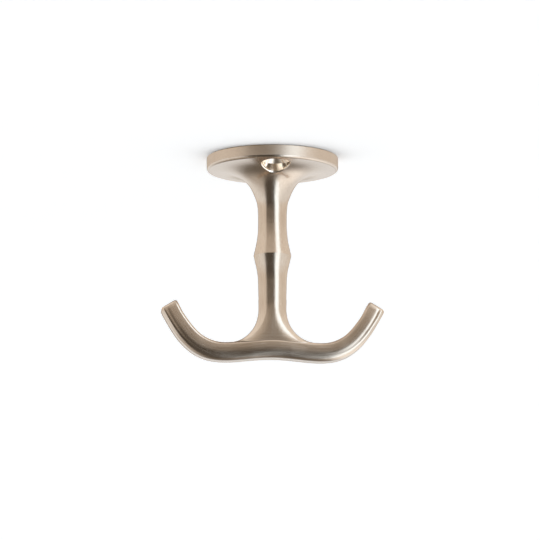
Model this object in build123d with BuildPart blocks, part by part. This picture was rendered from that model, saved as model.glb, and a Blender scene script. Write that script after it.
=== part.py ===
from build123d import *
import os
from math import atan2, copysign, cos, pi, radians, sin, tan

# Anchor hook that is screwed up under a shelf, a hat rack or a ceiling.
# It is one casting: a round flange, a flared stem with a ridged knuckle, and two upturned arms.
# All sizes are millimetres. The origin is the middle of the flange's flat mounting face,
# +Z points up into the surface that carries the hook, and the arms lie along X.

# Flange
flange_diameter = 38.0
flange_thickness = 3.6
flange_edge_round = 0.8

# Two countersunk holes, one in front of the stem and one behind it
screw_hole_diameter = 4.5
screw_head_diameter = 8.0
countersink_angle = 90.0
countersink_sink = 0.3
hole_to_rim = 2.0
hole_lip_chamfer = 0.2

# Flare between the flange and the stem
flare_height = 14.8
flare_points = [(7.2, 1.1), (3.0, 3.85), (0.95, 7.7)]
flare_rim_fall = 0.04

# Stem and its knuckle. The upper stem runs from the flare to the knuckle's ridge,
# and the lower stem from the ridge to where the crotch begins.
upper_stem_length = 10.1
lower_stem_length = 12.5
stem_diameter = 8.3
lower_stem_diameter = 8.4
stem_foot_diameter = 8.05
knuckle_diameter = 10.9
knuckle_upper_cone = 5.6
knuckle_lower_cone = 5.4
knuckle_upper_blend = 28.0
knuckle_lower_blend = 20.0
knuckle_ridge_round = 0.25

# Crotch: the stem spreads sideways on a quarter of an ellipse on each side, and its outline
# grows from round to nearly square.
crotch_lead = 3.2
crotch_drop = 10.0
crotch_floor = 0.975
crotch_inset = 0.25
crotch_squareness = 5.6
crotch_squaring_delay = 1.5
crotch_outline_points = 32
crotch_angles = [0, 15, 30, 45, 58, 70, 80]
crotch_root = 1.9
crotch_root_inset = 0.9

# Arms, seen from the front: each leaves its lowest point on a tight arc and ends on a wide one,
# and a bar that arches up in the middle joins the two lowest points.
arm_low_offset = 14.3
arm_inner_radius = 13.0
arm_inner_sweep = 48.5
arm_outer_radius = 34.0
arm_outer_sweep = 18.3
arm_cut_turn = 8.0
bar_arch = 0.95

# Sections: width is seen from the front, thickness from below
bar_width = 5.0
low_width = 5.05
tip_width = 5.0
arm_swell = 0.35
bar_thickness = 9.2
arm_thickness = 8.4
tip_thickness = 7.2
thinning_delay = 1.5
face_crown = 0.22
upper_edge_round = 0.9
lower_edge_round = 1.3
tip_edge_round = 0.7
bar_steps = 3
inner_steps = 3
outer_steps = 3

flange_radius = flange_diameter / 2
stem_radius = stem_diameter / 2
lower_stem_radius = lower_stem_diameter / 2
foot_radius = stem_foot_diameter / 2
knuckle_radius = knuckle_diameter / 2
hole_radius = screw_hole_diameter / 2
head_radius = screw_head_diameter / 2
hole_offset = flange_radius - hole_to_rim - head_radius
countersink_level = flange_thickness - countersink_sink
flare_foot_depth = flange_thickness + flare_height
knuckle_depth = flare_foot_depth + upper_stem_length
stem_foot_depth = knuckle_depth + lower_stem_length
crotch_depth = stem_foot_depth + crotch_lead
crotch_reach = arm_low_offset - crotch_floor - foot_radius
crotch_front = bar_thickness / 2 - crotch_inset
arm_low_depth = crotch_depth + crotch_drop + low_width / 2


def largest_blend(straight, cone_length, cone_rise):
    """Give the widest blend that still starts on the straight and ends on the cone."""
    half_turn = atan2(cone_rise, cone_length) / 2
    return 0.95 * min(straight, cone_length) / tan(half_turn)


def crotch_outline(half_width, half_depth, squareness):
    """Draw a closed outline that is an ellipse at squareness 2 and a soft rectangle above that."""
    points = []
    for i in range(crotch_outline_points):
        turn = 2 * pi * i / crotch_outline_points
        across = copysign(abs(cos(turn)) ** (2 / squareness), cos(turn))
        ahead = copysign(abs(sin(turn)) ** (2 / squareness), sin(turn))
        points.append((half_width * across, half_depth * ahead))
    Spline(*points, periodic=True)


def arm_outline(width, thickness):
    """Draw a rectangle with rounded corners, whose front and back are slightly crowned."""
    half_width = width / 2
    edge = thickness / 2 - face_crown
    Line((-edge, half_width), (edge, half_width))
    ThreePointArc((edge, half_width), (edge + face_crown, 0), (edge, -half_width))
    Line((edge, -half_width), (-edge, -half_width))
    ThreePointArc((-edge, -half_width), (-edge - face_crown, 0), (-edge, half_width))


def bar_stations():
    """Give place, direction, width and thickness from the bar's middle to an arm's lowest point."""
    stations = []
    for i in range(bar_steps):
        turn = pi * i / bar_steps
        share = (1 + cos(turn)) / 2
        place = (arm_low_offset * i / bar_steps, -arm_low_depth + bar_arch * share)
        direction = (1, -bar_arch * sin(turn) * pi / (2 * arm_low_offset))
        width = low_width + (bar_width - low_width) * share
        thickness = arm_thickness + (bar_thickness - arm_thickness) * share
        stations.append((place, direction, width, thickness))
    return stations


def arm_place(angle):
    """Give the point of an arm's centre line where it has turned up by an angle in degrees."""
    inner = radians(min(angle, arm_inner_sweep))
    x = arm_low_offset + arm_inner_radius * sin(inner)
    z = -arm_low_depth + arm_inner_radius * (1 - cos(inner))
    if angle > arm_inner_sweep:
        x += arm_outer_radius * (sin(radians(angle)) - sin(inner))
        z += arm_outer_radius * (cos(inner) - cos(radians(angle)))
    return x, z


def arm_stations():
    """Give place, direction, width and thickness from an arm's lowest point to its tip."""
    angles = [arm_inner_sweep * i / inner_steps for i in range(inner_steps)]
    angles += [arm_inner_sweep + arm_outer_sweep * i / outer_steps for i in range(outer_steps + 1)]
    stations = []
    for i, angle in enumerate(angles):
        share = i / (len(angles) - 1)
        facing = radians(angle - arm_cut_turn) if share == 1 else radians(angle)
        width = low_width + (tip_width - low_width) * share + arm_swell * sin(pi * share)
        thickness = arm_thickness + (tip_thickness - arm_thickness) * share**thinning_delay
        stations.append((arm_place(angle), (cos(facing), sin(facing)), width, thickness))
    return stations


right_half = bar_stations() + arm_stations()
left_half = [((-x, z), (ahead, -up), w, t) for (x, z), (ahead, up), w, t in reversed(right_half[1:])]

with BuildPart() as anchor_hook:
    # Flange, flare, stem and knuckle are turned from one half profile.
    with BuildSketch(Plane.XZ):
        with BuildLine():
            flare_top = (flange_radius - flange_edge_round, -flange_thickness)
            flare_foot = (stem_radius, -flare_foot_depth)
            flare_middle = [(stem_radius + out, -flange_thickness - down) for out, down in flare_points]
            Polyline((0, 0), (flange_radius, 0), (flange_radius, -flange_thickness + flange_edge_round))
            RadiusArc(
                (flange_radius, -flange_thickness + flange_edge_round),
                flare_top,
                flange_edge_round,
            )
            Spline(flare_top, *flare_middle, flare_foot, tangents=[(-1, -flare_rim_fall), (0, -1)])
            upper_blend = min(
                knuckle_upper_blend,
                largest_blend(upper_stem_length - knuckle_upper_cone, knuckle_upper_cone, knuckle_radius - stem_radius),
            )
            lower_blend = min(
                knuckle_lower_blend,
                largest_blend(
                    lower_stem_length - knuckle_lower_cone,
                    knuckle_lower_cone,
                    knuckle_radius - lower_stem_radius,
                ),
            )
            FilletPolyline(
                flare_foot,
                (stem_radius, -knuckle_depth + knuckle_upper_cone),
                (knuckle_radius, -knuckle_depth),
                (lower_stem_radius, -knuckle_depth - knuckle_lower_cone),
                (foot_radius, -stem_foot_depth),
                radius=[upper_blend, knuckle_ridge_round, lower_blend],
            )
            Polyline((foot_radius, -stem_foot_depth), (0, -stem_foot_depth), (0, 0))
        make_face()
    revolve(axis=Axis.Z)

    # The lower stem turns from round to broad and flat-faced as it spreads into the crotch.
    with BuildSketch(Plane.XY.offset(-stem_foot_depth)):
        Circle(foot_radius)
    for angle in crotch_angles:
        depth = crotch_depth + crotch_drop * sin(radians(angle))
        half_width = foot_radius + crotch_reach * (1 - cos(radians(angle)))
        half_depth = crotch_front - (crotch_front - foot_radius) * (1 - angle / 90) ** 2
        squareness = 2 + (crotch_squareness - 2) * (angle / 90) ** crotch_squaring_delay
        with BuildSketch(Plane.XY.offset(-depth)):
            with BuildLine():
                crotch_outline(half_width, half_depth, squareness)
            make_face()
    loft()

    # Below that, a short root narrows into the bar.
    for drop, inset in ((0, 0), (crotch_root, crotch_root_inset)):
        with BuildSketch(Plane.XY.offset(-depth - drop)):
            with BuildLine():
                crotch_outline(half_width, half_depth - inset, squareness)
            make_face()
    loft(ruled=True)

    # The bar and both arms are one loft from tip to tip.
    for (x, z), (ahead, up), width, thickness in left_half + right_half:
        with BuildSketch(Plane((x, 0, z), x_dir=(0, 1, 0), z_dir=(ahead, 0, up))):
            with BuildLine():
                arm_outline(width, thickness)
            make_face()
            fillet(vertices().group_by(Axis.Y)[-1], upper_edge_round)
            fillet(vertices().group_by(Axis.Y)[0], lower_edge_round)
    loft()
    tip_faces = anchor_hook.faces().filter_by(GeomType.PLANE).group_by(Axis.X)
    fillet(tip_faces[0].edges() + tip_faces[-1].edges(), tip_edge_round)

    # Countersunk screw holes, cut straight up through the flare
    cone_height = (head_radius - hole_radius) / tan(radians(countersink_angle / 2))
    for y in (-hole_offset, hole_offset):
        with Locations((0, y, -flange_thickness / 2)):
            Cylinder(hole_radius, 2 * flange_thickness, mode=Mode.SUBTRACT)
        with Locations((0, y, -countersink_level + cone_height / 2)):
            Cone(head_radius, hole_radius, cone_height, mode=Mode.SUBTRACT)
        with Locations((0, y, -countersink_level - flare_height / 2)):
            Cylinder(head_radius, flare_height, mode=Mode.SUBTRACT)
    hole_walls = anchor_hook.faces().filter_by(GeomType.CYLINDER)
    head_walls = [face for face in hole_walls if abs(face.radius - head_radius) < 0.001]
    hole_lips = [edge for face in head_walls for edge in face.edges().filter_by(GeomType.BSPLINE)]
    chamfer(hole_lips, hole_lip_chamfer)

anchor_hook.part.label = "anchor_hook"
os.makedirs("parts", exist_ok=True)
export_step(anchor_hook.part, "parts/anchor_hook.step")
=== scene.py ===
"""Anchor hook of cast metal, brushed and plated in warm satin nickel, fixed under a white ceiling."""

from math import cos, pi, radians, sin

import bpy
import bmesh
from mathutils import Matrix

MM = 0.001

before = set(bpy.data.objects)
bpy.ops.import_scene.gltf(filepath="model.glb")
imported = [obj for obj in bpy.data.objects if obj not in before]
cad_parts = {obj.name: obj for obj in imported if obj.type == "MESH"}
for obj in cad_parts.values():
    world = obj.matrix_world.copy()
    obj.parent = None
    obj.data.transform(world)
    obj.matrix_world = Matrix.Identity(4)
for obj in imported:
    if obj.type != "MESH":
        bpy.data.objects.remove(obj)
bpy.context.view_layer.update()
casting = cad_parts["anchor_hook"]

# Camera, measured from the middle of the mounting face. It stands below the hook and looks up at it.
CAMERA_TURN = 4.2
CAMERA_DISTANCE = 840 * MM
CAMERA_DROP = 183 * MM
CAMERA_PITCH = 10.14
CAMERA_LENS = 198.0
CAMERA_SENSOR = 36.0
CAMERA_CLIP = (0.05, 30.0)
STEM_RIGHT_OF_MIDDLE = 2.4
AXIS_BELOW_MIDDLE = 0.5
FRAME_PIXELS = 540

# Ceiling and floor. What the camera sees of them is white, and grey only close around the flange's front: partly
# the paint's real shadow and partly a painted shadow.
CEILING_SIZE = 4.0
CEILING_GAP = 0.05 * MM
PAINT = (0.8, 0.8, 0.8, 1.0)
CEILING_GLOW = 0.56
SHADOW_REACH = 24 * MM
SHADOW_DEPTH = 1.35
SHADOW_FRONT = -14 * MM
SHADOW_BACK = 6 * MM
SHADOW_SAMPLES = 16
FLOOR_DROP = 1.1
FLOOR_SIZE = 3.1
FLOOR_GLOW = 0.5

# The room as the metal mirrors it. Bearings are degrees from the camera towards the right of the picture.
# Tones run from straight down (0) through level (0.5) to straight up (1). A rise is -1 straight down and 1
# straight up, and a start is how far to the right a direction leans before a tone sets in.
WALL_TONES = [
    (0.00, (0.95, 1.00, 1.05)),
    (0.42, (1.02, 1.06, 1.10)),
    (0.50, (0.90, 0.86, 0.80)),
    (0.60, (0.88, 0.83, 0.77)),
    (0.95, (1.15, 1.12, 1.08)),
]
GAP_LEFT = -49.0
GAP_RIGHT = 20.0
GAP_SOFT = 5.0
GAP_TONES = [
    (0.02, (0.13, 0.115, 0.10)),
    (0.12, (0.095, 0.082, 0.069)),
    (0.30, (0.09, 0.078, 0.064)),
    (0.47, (0.095, 0.083, 0.069)),
    (0.55, (0.142, 0.126, 0.105)),
    (0.59, (0.24, 0.213, 0.182)),
    (0.65, (0.45, 0.405, 0.355)),
    (0.72, (0.58, 0.53, 0.47)),
    (0.80, (0.67, 0.62, 0.56)),
    (0.95, (0.85, 0.83, 0.80)),
]
LOW_SHADE = (-0.66, -0.30)
LOW_LEFT_START = (-0.2, -0.7)
LOW_RIGHT_START = (0.08, 0.40)
LOW_MIDDLE = (0.19, 0.172, 0.15)
LOW_LEFT = (0.60, 0.58, 0.55)
LOW_RIGHT = (1.35, 1.40, 1.45)
BACK_BEARING = (146.0, 162.0)
BACK_RISE = (-0.04, 0.06)
BACK_TONE = (0.50, 0.46, 0.41)
BOX_LEFT = 21.0
BOX_RIGHT = 50.0
BOX_SOFT = 2.0
BOX_LEAN = 12.0
BOX_RISE = (-0.90, 0.75)
BOX_RISE_SOFT = 0.06
BOX_START = (0.20, 0.30)
BOX_LIGHT = (1.75, 2.05, 2.35)

# Colours and roughness of the satin nickel, the polished holes with their colour painted light as a painted
# reflection, and the turned mounting face
NICKEL_TONES = [(0.38, (0.61, 0.495, 0.395)), (0.50, (0.66, 0.545, 0.44)), (0.62, (0.70, 0.585, 0.48))]
PAINTED_BRIGHT_HOLES = (0.98, 0.88, 0.76)
BACK_FACE = (0.50, 0.43, 0.36)
SATIN_ROUGHNESS = 0.24
RIM_ROUGHNESS = 0.42
POLISHED_ROUGHNESS = 0.15
BACK_FACE_ROUGHNESS = 0.55
BRUSH_ROUGHENING = 0.12
CLOUD_ROUGHENING = 0.08
MARK_DEPTH = 0.0035 * MM

# Where the finish changes: the brushed rim, the mounting face on top, the two screw holes and the arms
RIM_EDGE = (18.5 * MM, 18.6 * MM)
RIM_FOOT = (-2.95 * MM, -2.8 * MM)
BACK_FACE_LEVEL = (-0.10 * MM, -0.02 * MM)
BACK_FACE_EDGE = (18.75 * MM, 18.95 * MM)
BACK_FACE_COVER = 0.35
HOLE_OFFSET = 13.0 * MM
HOLE_EDGE = (4.10 * MM, 4.25 * MM)
ARMS_START_LEVEL = (-53.5 * MM, -49.5 * MM)
ARMS_START_SIDE = (9.0 * MM, 12.0 * MM)
ARMS_END_LEVEL = (-20 * MM, -12 * MM)

# Brush marks: how fine they are, and how far they are drawn out along the stroke
TURNING_SCALE = 4200.0
TURNING_STROKE = 0.0003
RIM_SCALE = 5200.0
RIM_STROKE = 0.004
RIM_SPREAD = 0.3
STEM_SCALE = 3200.0
ARM_SCALE = 2600.0
STRAIGHT_STROKE = 0.06
MARK_DETAIL = 3.0
CLOUD_SCALE = 140.0
CLOUD_DETAIL = 3.0
GRAIN_SCALE = 2400.0
GRAIN_DETAIL = 2.0
MARKS_SHARE = 0.42
CLOUDS_SHARE = 0.38
GRAIN_SHARE = 0.20

# Centre line of the bar and the arms, which the brush marks and the falling outer face follow.
# Starts, bends and reaches are distances from it or from the tip.
LOW_OFFSET = 14.3 * MM
LOW_LEVEL = -56.725 * MM
BAR_ARCH = 0.95 * MM
INNER_RADIUS = 13.0 * MM
INNER_SWEEP = 48.5
OUTER_RADIUS = 34.0 * MM
FACE_FALL_START = 0.1 * MM
FACE_FALL_BEND = 1.1 * MM
FACE_FALL_SLOPE = 0.22
BAR_FALL_SHARE = 0.35
FULL_FALL_SIDE = (5.0 * MM, 16.0 * MM)
TIP_TURN = 66.8
TIP_FALL_REACH = 1.5 * MM
TIP_FALL_SLOPE = 0.40
TIP_EASE_REACH = 9.0 * MM
TIP_EASE_SLOPE = 0.08
FACE_DEPTH = 4.3 * MM
UNDERSIDE_HALF = 3.3 * MM
UNDERSIDE_SLOPE = 0.36
UNDERSIDE_START = (0.8 * MM, 2.0 * MM)


class Sum:
    """One output of a shader tree, with the arithmetic that the finishes use written as Python sums."""

    def __init__(self, finish, socket):
        self.finish = finish
        self.socket = socket

    def _math(self, operation, first, second):
        return self.finish.node("ShaderNodeMath", {"operation": operation}, {0: first, 1: second})

    def __add__(self, other):
        return self._math("ADD", self, other)

    def __radd__(self, other):
        return self._math("ADD", other, self)

    def __sub__(self, other):
        return self._math("SUBTRACT", self, other)

    def __rsub__(self, other):
        return self._math("SUBTRACT", other, self)

    def __mul__(self, other):
        return self._math("MULTIPLY", self, other)

    def __rmul__(self, other):
        return self._math("MULTIPLY", other, self)


class Finish:
    """A node tree that is filled through one method."""

    def __init__(self, tree):
        self.tree = tree
        tree.nodes.clear()

    def node(self, kind, settings=None, inputs=None, output=0):
        """Add a node, set its settings first, then the values or links of its sockets."""
        made = self.tree.nodes.new(kind)
        for name, value in (settings or {}).items():
            if name == "stops":
                ramp = made.color_ramp.elements
                while len(ramp) < len(value):
                    ramp.new(0.5)
                for stop, (place, colour) in zip(ramp, value):
                    stop.position = place
                    stop.color = (*colour, 1.0)
            else:
                setattr(made, name, value)
        for key, value in (inputs or {}).items():
            socket = made.inputs[key]
            if isinstance(value, Sum):
                self.tree.links.new(value.socket, socket)
            else:
                socket.default_value = value
        return Sum(self, made.outputs[output]) if made.outputs else None


def smooth(finish, value, low, high):
    """Run from 0 at low to 1 at high along a soft curve."""
    return finish.node(
        "ShaderNodeMapRange",
        {"interpolation_type": "SMOOTHSTEP"},
        {"Value": value, "From Min": low, "From Max": high},
    )


def band(finish, value, low, high, soft):
    """Be 1 between low and high and 0 outside, with soft edges."""
    return smooth(finish, value, low - soft, low + soft) * (1.0 - smooth(finish, value, high - soft, high + soft))


def function(finish, operation, first, second=0.0):
    """Any other sum, by its name."""
    return finish.node("ShaderNodeMath", {"operation": operation}, {0: first, 1: second})


def distance(finish, across, along):
    return function(finish, "SQRT", across * across + along * along)


def blend(finish, share, first, second):
    return finish.node("ShaderNodeMix", {"data_type": "RGBA"}, {0: share, 6: first, 7: second}, output=2)


def noise(finish, place, scale, detail):
    return finish.node("ShaderNodeTexNoise", inputs={"Vector": place, "Scale": scale, "Detail": detail})


def strokes(finish, first, second, third, scale):
    """Brush marks: noise in a space that is squeezed along the stroke."""
    place = finish.node("ShaderNodeCombineXYZ", inputs={0: first, 1: second, 2: third})
    return noise(finish, place, scale, MARK_DETAIL)


def new_material(name):
    material = bpy.data.materials.new(name)
    material.use_nodes = True
    return material, Finish(material.node_tree)


def arm_places(finish, side, height):
    """Distance outwards from the centre line of the bar and the arms, and distance along it to the tip."""
    share = function(finish, "MINIMUM", side, LOW_OFFSET) * (pi / LOW_OFFSET)
    bar = LOW_LEVEL + BAR_ARCH * 0.5 * (1.0 + function(finish, "COSINE", share)) - height
    from_low = function(finish, "MAXIMUM", side - LOW_OFFSET, 0.0)
    inner_drop = (LOW_LEVEL + INNER_RADIUS) - height
    inner = distance(finish, from_low, inner_drop) - INNER_RADIUS
    turn = radians(INNER_SWEEP)
    step = OUTER_RADIUS - INNER_RADIUS
    outer_side = side - (LOW_OFFSET - step * sin(turn))
    outer_drop = (LOW_LEVEL + INNER_RADIUS + step * cos(turn)) - height
    outer = distance(finish, outer_side, outer_drop) - OUTER_RADIUS
    to_tip = (radians(TIP_TURN) - function(finish, "ARCTAN2", outer_side, outer_drop)) * OUTER_RADIUS
    past_inner = function(finish, "GREATER_THAN", function(finish, "ARCTAN2", from_low, inner_drop), turn)
    past_bar = function(finish, "GREATER_THAN", side, LOW_OFFSET)
    arm = inner + (outer - inner) * past_inner
    return bar + (arm - bar) * past_bar, to_tip


def satin_nickel():
    """Warm satin nickel: fine brush marks, faint cloudiness, a coarser brushed rim and polished screw holes
    painted light as a painted reflection.
    """
    material, finish = new_material("satin_nickel")
    place = finish.node("ShaderNodeTexCoord", output="Object")
    across = finish.node("ShaderNodeSeparateXYZ", inputs={0: place}, output="X")
    ahead = finish.node("ShaderNodeSeparateXYZ", inputs={0: place}, output="Y")
    height = finish.node("ShaderNodeSeparateXYZ", inputs={0: place}, output="Z")
    radius = distance(finish, across, ahead)
    turn = function(finish, "ARCTAN2", across, ahead)

    rim = smooth(finish, radius, *RIM_EDGE) * smooth(finish, height, *RIM_FOOT)
    on_top = smooth(finish, height, *BACK_FACE_LEVEL)
    back_face = on_top * (1.0 - smooth(finish, radius, *BACK_FACE_EDGE))
    hole_side = function(finish, "ABSOLUTE", ahead) - HOLE_OFFSET
    hole = 1.0 - smooth(finish, distance(finish, across, hole_side), *HOLE_EDGE)
    side = function(finish, "ABSOLUTE", across)
    outward, to_tip = arm_places(finish, side, height)
    arms = 1.0 - smooth(finish, height, *ARMS_START_LEVEL)
    arms = function(finish, "MAXIMUM", arms, smooth(finish, side, *ARMS_START_SIDE))
    arms = arms * (1.0 - smooth(finish, height, *ARMS_END_LEVEL))

    # Brush marks run round the rim, along the stem, and along the bar and the arms. The flat mounting face
    # on top is only turned.
    turning_marks = strokes(finish, radius, turn * TURNING_STROKE, height, TURNING_SCALE)
    rim_marks = strokes(finish, turn * RIM_STROKE, height, radius * RIM_SPREAD, RIM_SCALE)
    stem_marks = strokes(finish, across, ahead, height * STRAIGHT_STROKE, STEM_SCALE)
    arm_marks = strokes(finish, outward, ahead, (side + height) * STRAIGHT_STROKE, ARM_SCALE)
    marks = stem_marks + (arm_marks - stem_marks) * arms
    marks = marks + (rim_marks - marks) * rim
    marks = marks + (turning_marks - marks) * back_face
    clouds = noise(finish, place, CLOUD_SCALE, CLOUD_DETAIL)
    grain = noise(finish, place, GRAIN_SCALE, GRAIN_DETAIL)

    tone = marks * MARKS_SHARE + clouds * CLOUDS_SHARE + grain * GRAIN_SHARE
    colour = finish.node("ShaderNodeValToRGB", {"stops": NICKEL_TONES}, {0: tone})
    # The screw holes are polished, and their near-white colour is a painted reflection that lightens their shaded
    # inside.
    colour = blend(finish, hole, colour, (*PAINTED_BRIGHT_HOLES, 1.0))
    colour = blend(finish, back_face * (BACK_FACE_COVER + marks), colour, (*BACK_FACE, 1.0))
    satin = SATIN_ROUGHNESS + (marks - 0.5) * BRUSH_ROUGHENING + (clouds - 0.5) * CLOUD_ROUGHENING
    roughness = satin + (RIM_ROUGHNESS - SATIN_ROUGHNESS) * rim
    roughness = roughness + (POLISHED_ROUGHNESS - roughness) * hole
    roughness = roughness + (BACK_FACE_ROUGHNESS - roughness) * back_face

    # The faces of the bar and the arms fall away softly: outwards, towards the tips, and across the underside.
    past_start = function(finish, "MAXIMUM", outward - FACE_FALL_START, 0.0)
    bent = function(finish, "MINIMUM", past_start, FACE_FALL_BEND)
    fall = bent * bent * (0.5 * FACE_FALL_SLOPE / FACE_FALL_BEND) + (past_start - bent) * FACE_FALL_SLOPE
    fall = fall * (BAR_FALL_SHARE + (1.0 - BAR_FALL_SHARE) * smooth(finish, side, *FULL_FALL_SIDE))
    near_tip = function(finish, "MAXIMUM", TIP_FALL_REACH - to_tip, 0.0)
    fall = fall + near_tip * near_tip * (0.5 * TIP_FALL_SLOPE / TIP_FALL_REACH)
    towards_tip = function(finish, "MAXIMUM", TIP_EASE_REACH - to_tip, 0.0)
    fall = fall + towards_tip * towards_tip * (0.5 * TIP_EASE_SLOPE / TIP_EASE_REACH)
    crown = (ahead * ahead - FACE_DEPTH * FACE_DEPTH) * (0.5 * UNDERSIDE_SLOPE / UNDERSIDE_HALF)
    fall = fall + crown * smooth(finish, outward, *UNDERSIDE_START)
    relief = (marks - 0.5) * MARK_DEPTH * (1.0 - hole) - fall * arms
    normal = finish.node("ShaderNodeBump", inputs={"Strength": 1.0, "Distance": 1.0, "Height": relief})

    shader = finish.node(
        "ShaderNodeBsdfPrincipled",
        inputs={"Metallic": 1.0, "Base Color": colour, "Roughness": roughness, "Normal": normal},
    )
    finish.node("ShaderNodeOutputMaterial", inputs={"Surface": shader})
    return material


def pale_surface(finish, strength, hidden):
    """White paint with a glow that only the camera sees. It is clear where hidden is 1, and to the metal."""
    seen = finish.node("ShaderNodeLightPath", output="Is Camera Ray")
    glossy = finish.node("ShaderNodeLightPath", output="Is Glossy Ray")
    paint = finish.node("ShaderNodeBsdfDiffuse", inputs={"Color": PAINT})
    glow = finish.node("ShaderNodeEmission", inputs={"Color": seen * strength, "Strength": 1.0})
    white = finish.node("ShaderNodeAddShader", inputs={0: paint, 1: glow})
    clear = finish.node("ShaderNodeBsdfTransparent")
    gone = function(finish, "MAXIMUM", hidden, glossy)
    shown = finish.node("ShaderNodeMixShader", inputs={0: gone, 1: white, 2: clear})
    finish.node("ShaderNodeOutputMaterial", inputs={"Surface": shown})


def ceiling_material():
    """White ceiling. From above it is clear, so that it never hides what hangs from it."""
    material, finish = new_material("white_ceiling")
    back = finish.node("ShaderNodeNewGeometry", output="Backfacing")
    near = finish.node(
        "ShaderNodeAmbientOcclusion", {"samples": SHADOW_SAMPLES}, {"Distance": SHADOW_REACH}, output="AO"
    )
    place = finish.node("ShaderNodeTexCoord", output="Object")
    along = finish.node("ShaderNodeSeparateXYZ", inputs={0: place}, output="Y")
    front = smooth(finish, along, SHADOW_BACK, SHADOW_FRONT)
    # Painted shadow: the glow that the camera sees is dimmed by ambient occlusion in front of the flange.
    pale_surface(finish, CEILING_GLOW - (1.0 - near) * front * SHADOW_DEPTH, back)
    return material


def floor_material():
    """Pale floor, far below."""
    material, finish = new_material("pale_floor")
    pale_surface(finish, FLOOR_GLOW, 0.0)
    return material


def sheet(name, size, height, facing_down):
    """A flat square of the stage."""
    shape = bmesh.new()
    bmesh.ops.create_grid(shape, x_segments=1, y_segments=1, size=size / 2)
    if facing_down:
        bmesh.ops.reverse_faces(shape, faces=shape.faces)
    bmesh.ops.translate(shape, verts=shape.verts, vec=(0, 0, height))
    mesh = bpy.data.meshes.new(name)
    shape.to_mesh(mesh)
    shape.free()
    made = bpy.data.objects.new(name, mesh)
    bpy.context.scene.collection.objects.link(made)
    return made


def studio():
    """Room: pale all round, a tall soft box to the right, and a dark, warm gap where the camera is."""
    world = bpy.data.worlds.new("studio")
    bpy.context.scene.world = world
    world.use_nodes = True
    finish = Finish(world.node_tree)
    seen = finish.node("ShaderNodeLightPath", output="Is Camera Ray")
    way = finish.node("ShaderNodeTexCoord", output="Generated")
    turn = radians(CAMERA_TURN)

    def along(axis):
        return finish.node("ShaderNodeVectorMath", {"operation": "DOT_PRODUCT"}, {0: way, 1: axis}, output="Value")

    def tone(stops):
        return finish.node("ShaderNodeValToRGB", {"stops": stops}, {0: (rise + 1.0) * 0.5})

    ahead = along((-sin(turn), -cos(turn), 0.0))
    right = along((cos(turn), -sin(turn), 0.0))
    rise = along((0.0, 0.0, 1.0))
    bearing = function(finish, "ARCTAN2", right, ahead)

    low = blend(finish, smooth(finish, right, *LOW_LEFT_START), (*LOW_MIDDLE, 1.0), (*LOW_LEFT, 1.0))
    low = blend(finish, smooth(finish, right, *LOW_RIGHT_START), low, (*LOW_RIGHT, 1.0))
    room = blend(finish, smooth(finish, rise, *LOW_SHADE), low, tone(WALL_TONES))
    away = function(finish, "ABSOLUTE", bearing)
    back = smooth(finish, away, radians(BACK_BEARING[0]), radians(BACK_BEARING[1]))
    room = blend(finish, back * smooth(finish, rise, *BACK_RISE), room, (*BACK_TONE, 1.0))
    gap = band(finish, bearing, radians(GAP_LEFT), radians(GAP_RIGHT), radians(GAP_SOFT))
    room = blend(finish, gap, room, tone(GAP_TONES))
    leaning = bearing - rise * radians(BOX_LEAN)
    box = band(finish, leaning, radians(BOX_LEFT), radians(BOX_RIGHT), radians(BOX_SOFT))
    box = box * band(finish, rise, *BOX_RISE, BOX_RISE_SOFT) * smooth(finish, right, *BOX_START)
    room = blend(finish, box, room, (*BOX_LIGHT, 1.0))
    room = blend(finish, seen, room, (1.0, 1.0, 1.0, 1.0))
    light = finish.node("ShaderNodeBackground", inputs={"Color": room, "Strength": 1.0})
    finish.node("ShaderNodeOutputWorld", inputs={"Surface": light})


def camera():
    lens = bpy.data.cameras.new("camera")
    lens.lens = CAMERA_LENS
    lens.sensor_width = CAMERA_SENSOR
    lens.shift_x = -STEM_RIGHT_OF_MIDDLE / FRAME_PIXELS
    lens.shift_y = AXIS_BELOW_MIDDLE / FRAME_PIXELS
    lens.clip_start, lens.clip_end = CAMERA_CLIP
    made = bpy.data.objects.new("camera", lens)
    bpy.context.scene.collection.objects.link(made)
    turn = radians(CAMERA_TURN)
    made.location = (-CAMERA_DISTANCE * sin(turn), -CAMERA_DISTANCE * cos(turn), -CAMERA_DROP)
    made.rotation_euler = (radians(90 + CAMERA_PITCH), 0, -turn)
    bpy.context.scene.camera = made


casting.data.materials[0] = satin_nickel()
ceiling = sheet("ceiling", CEILING_SIZE, CEILING_GAP, facing_down=True)
ceiling.data.materials.append(ceiling_material())
floor = sheet("floor", FLOOR_SIZE, -FLOOR_DROP, facing_down=False)
floor.data.materials.append(floor_material())
studio()
camera()

scene = bpy.context.scene
scene.view_settings.view_transform = "Standard"
